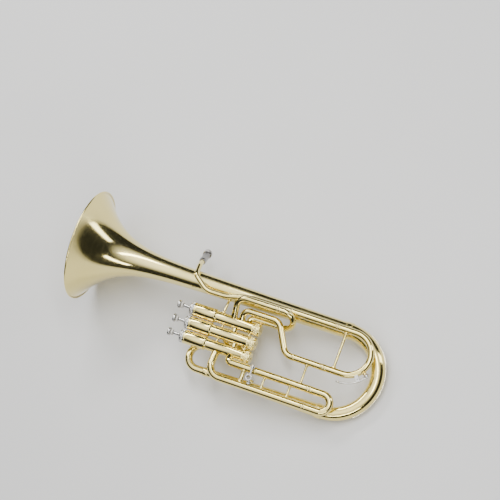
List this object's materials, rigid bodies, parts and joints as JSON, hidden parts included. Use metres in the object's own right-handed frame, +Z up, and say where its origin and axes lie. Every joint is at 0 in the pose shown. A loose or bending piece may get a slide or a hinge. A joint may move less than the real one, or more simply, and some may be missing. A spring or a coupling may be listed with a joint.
{
  "type": "euphonium",
  "caption": "Small upright euphonium with top-action piston valves, pull-out tuning slides, a water key and a bare mouthpiece receiver.",
  "frame": {"origin": "middle of the footprint, on the surface that the horn lies on", "axes": "+Z up; +X from the bell mouth to the bottom bow, along the horn; +Y away from the valves"},
  "size_m": [0.6584, 0.2874, 0.2187],
  "materials": {
    "lacquered_brass": "polished and lacquered",
    "brass_plain": "turned",
    "silver_plate": "polished plate",
    "nickel_plate": "lapped plate",
    "spring_steel": "drawn wire",
    "iron_wire": "drawn wire",
    "felt": "pressed felt",
    "cork": "natural cork"
  },
  "bodies": {
    "horn": {"bell": "lacquered_brass", "rim_wire": "iron_wire", "bottom_bow": "lacquered_brass", "bow_guard": "lacquered_brass", "lower_branch": "lacquered_brass", "bow_ferrules": "lacquered_brass", "branch_bend": "lacquered_brass", "valve_casing_1": "lacquered_brass", "valve_casing_2": "lacquered_brass", "valve_casing_3": "lacquered_brass", "valve_guides": "brass_plain", "valve_top_caps": "silver_plate", "valve_bottom_caps": "silver_plate", "valve_knuckles": "lacquered_brass", "valve_posts": "lacquered_brass", "valve_spring_1": "spring_steel", "valve_spring_2": "spring_steel", "valve_spring_3": "spring_steel", "tuning_outer_upper": "lacquered_brass", "tuning_outer_lower": "lacquered_brass", "valve_inlet": "lacquered_brass", "receiver": "silver_plate", "receiver_ring": "silver_plate", "leadpipe": "lacquered_brass", "first_outer_front": "lacquered_brass", "first_outer_rear": "lacquered_brass", "second_outer_legs": "lacquered_brass", "third_outer_upper": "lacquered_brass", "third_outer_lower": "lacquered_brass", "third_slide_posts": "lacquered_brass", "horn_braces": "lacquered_brass", "lyre_holder": "silver_plate"},
    "valve_1": {"piston_1": "nickel_plate", "valve_stem_1": "silver_plate", "finger_button_1": "silver_plate", "button_felt_1": "felt"},
    "valve_2": {"piston_2": "nickel_plate", "valve_stem_2": "silver_plate", "finger_button_2": "silver_plate", "button_felt_2": "felt"},
    "valve_3": {"piston_3": "nickel_plate", "valve_stem_3": "silver_plate", "finger_button_3": "silver_plate", "button_felt_3": "felt"},
    "tuning_slide": {"tuning_inner_legs": "nickel_plate", "tuning_crook": "lacquered_brass", "tuning_brace": "lacquered_brass", "water_key_nipple": "lacquered_brass", "water_key_saddle": "silver_plate", "water_key_pin": "spring_steel", "water_key_spring": "spring_steel"},
    "water_key": {"water_key_lever": "silver_plate", "water_key_cork": "cork"},
    "first_slide": {"first_inner_legs": "nickel_plate", "first_crook": "lacquered_brass"},
    "second_slide": {"second_inner_legs": "nickel_plate", "second_crook": "lacquered_brass"},
    "third_slide": {"third_inner_legs": "nickel_plate", "third_crook": "lacquered_brass"},
    "lyre_screw": {"lyre_screw": "silver_plate"}
  },
  "joints": [
    {"name": "valve_1_press", "type": "slide", "parent": "horn", "child": "valve_1", "axis": [0.9905, 0, -0.1374], "range_m": [0, 0.016], "stiffness_N_per_m": 120, "springref_m": -0.02, "deforming": ["valve_spring_1"]},
    {"name": "valve_2_press", "type": "slide", "parent": "horn", "child": "valve_2", "axis": [0.9905, 0, -0.1374], "range_m": [0, 0.016], "stiffness_N_per_m": 120, "springref_m": -0.02, "deforming": ["valve_spring_2"]},
    {"name": "valve_3_press", "type": "slide", "parent": "horn", "child": "valve_3", "axis": [0.9905, 0, -0.1374], "range_m": [0, 0.016], "stiffness_N_per_m": 120, "springref_m": -0.02, "deforming": ["valve_spring_3"]},
    {"name": "tuning_slide_pull", "type": "slide", "parent": "horn", "child": "tuning_slide", "axis": [0.9905, 0, -0.1374], "range_m": [0, 0.05]},
    {"name": "first_slide_pull", "type": "slide", "parent": "horn", "child": "first_slide", "axis": [0.9905, 0, -0.1374], "range_m": [0, 0.03]},
    {"name": "second_slide_pull", "type": "slide", "parent": "horn", "child": "second_slide", "axis": [0.9905, 0, -0.1374], "range_m": [0, 0.016]},
    {"name": "third_slide_pull", "type": "slide", "parent": "horn", "child": "third_slide", "axis": [0.9905, 0, -0.1374], "range_m": [0, 0.07]},
    {"name": "water_key_turn", "type": "hinge", "parent": "tuning_slide", "child": "water_key", "pos_m": [0.28647, -0.05524, 0.04377], "axis": [-0.137, 0.0819, -0.9872], "range_deg": [0, 10], "stiffness_Nm_per_rad": 0.03, "springref_deg": -28.65, "deforming": ["water_key_spring"]},
    {"name": "lyre_screw_turn", "type": "hinge", "parent": "horn", "child": "lyre_screw", "pos_m": [0.09319, -0.11495, 0.07678], "axis": [0.0113, 0.9966, 0.0812], "continuous": true}
  ]
}
